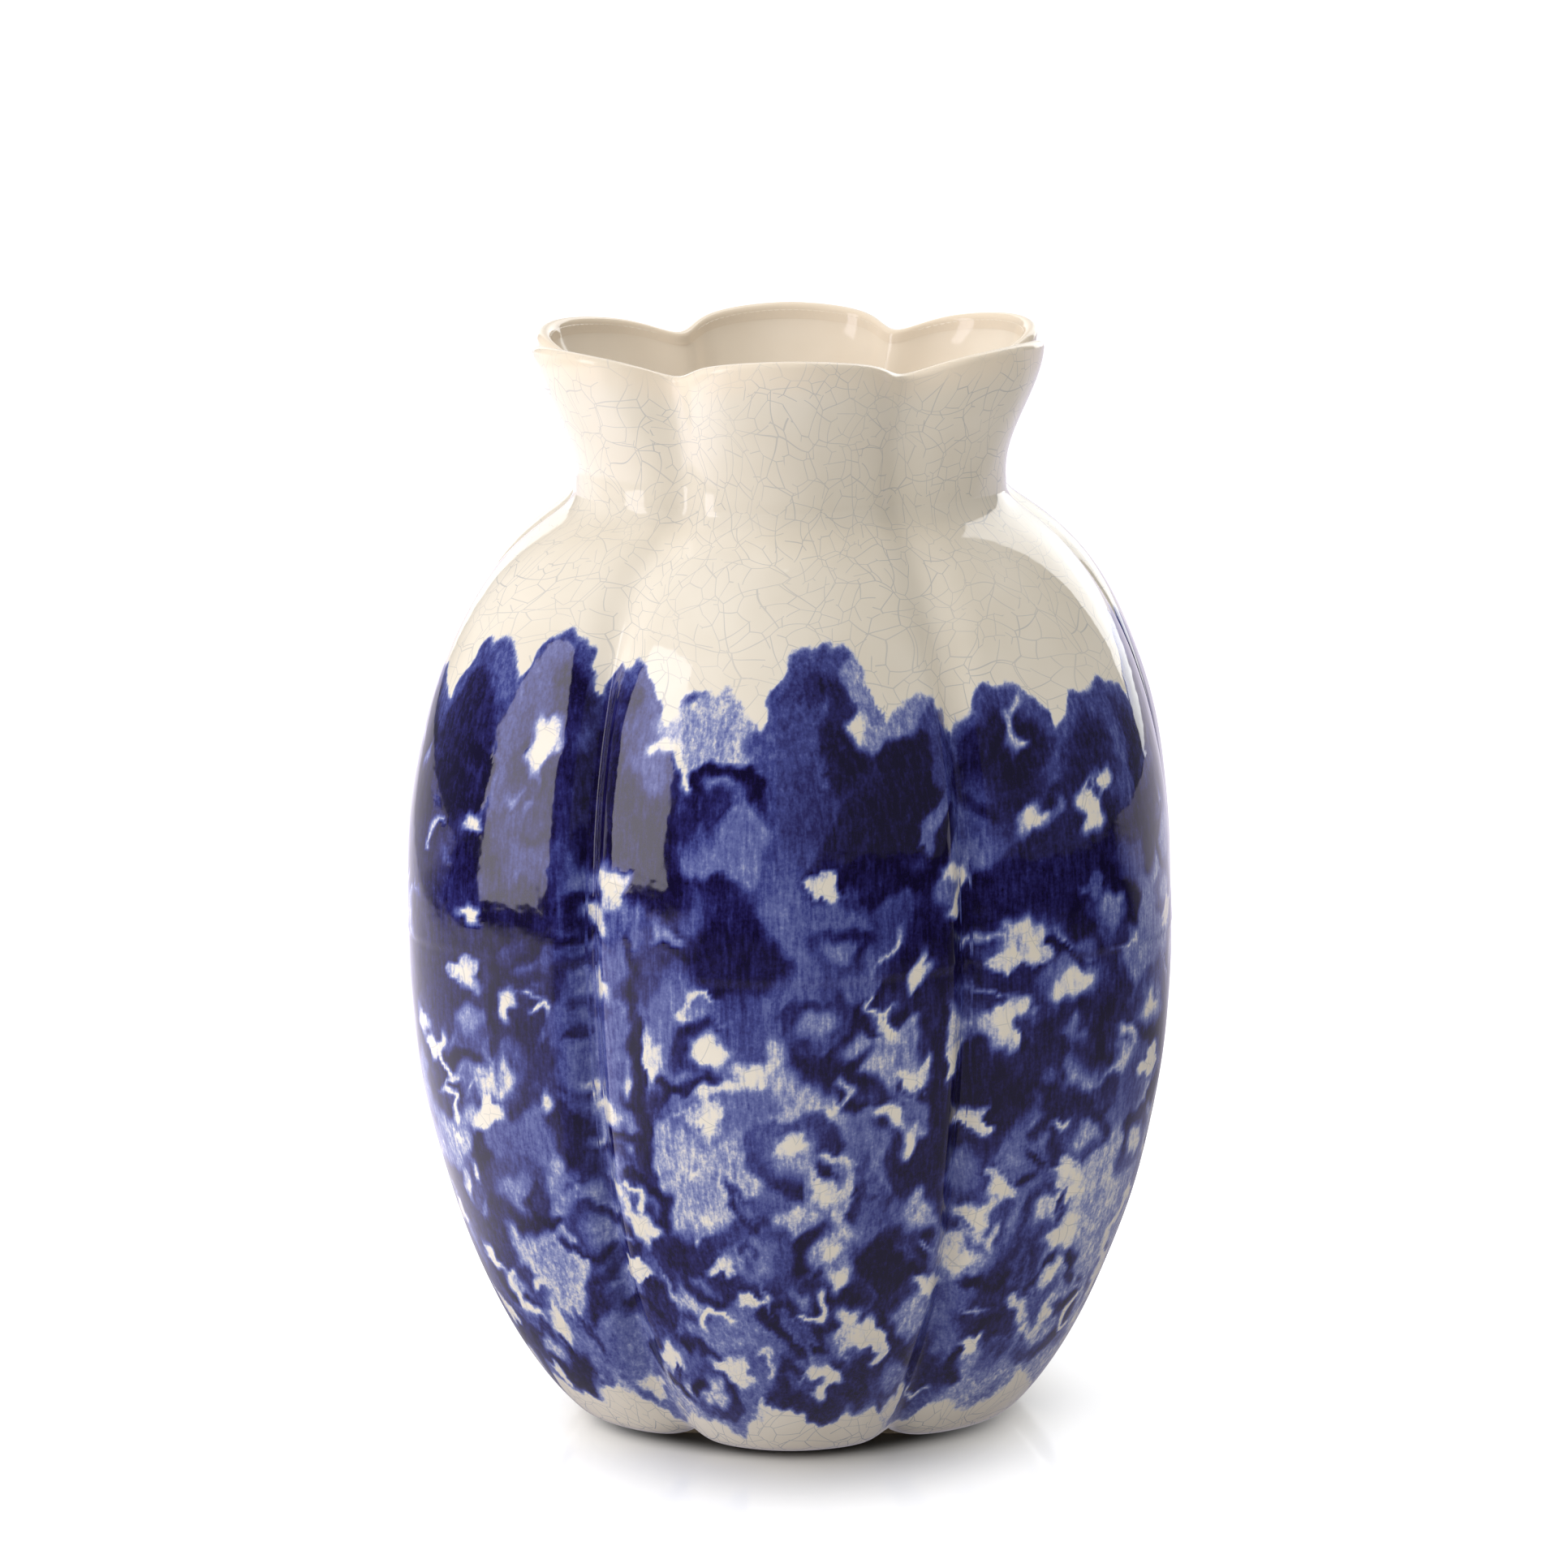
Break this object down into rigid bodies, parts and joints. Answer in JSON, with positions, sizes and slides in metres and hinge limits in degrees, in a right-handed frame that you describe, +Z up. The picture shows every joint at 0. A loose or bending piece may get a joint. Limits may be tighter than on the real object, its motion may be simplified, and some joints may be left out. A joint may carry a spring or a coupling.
{
  "type": "pottery vase",
  "caption": "Lobed, melon-shaped pottery vase with a waisted neck, a scalloped rim, a cream crackle glaze and a dabbed cobalt band.",
  "frame": {"origin": "on the vase's axis, in the plane that the foot ring rests on", "axes": "+Z up along the vase's axis, -Y through the crest of the front lobe, +X to the right of it"},
  "size_m": [0.1946, 0.2088, 0.28],
  "materials": {
    "bare_clay": "matt, fine-grained fired clay",
    "cream_glaze": "clear glossy, with a fine grey crackle",
    "lining_glaze": "glossy, plain",
    "cobalt": "glossy, dabbed, pooled and streaked"
  },
  "bodies": {
    "root": {"foot_ring": "bare_clay", "base_floor": "bare_clay", "base_glaze": "cream_glaze", "belly_wall": "bare_clay", "neck_collar": "bare_clay", "belly_glaze": "cream_glaze", "collar_glaze": "cream_glaze", "inner_glaze": "lining_glaze", "cobalt_decoration": "cobalt"}
  },
  "joints": []
}
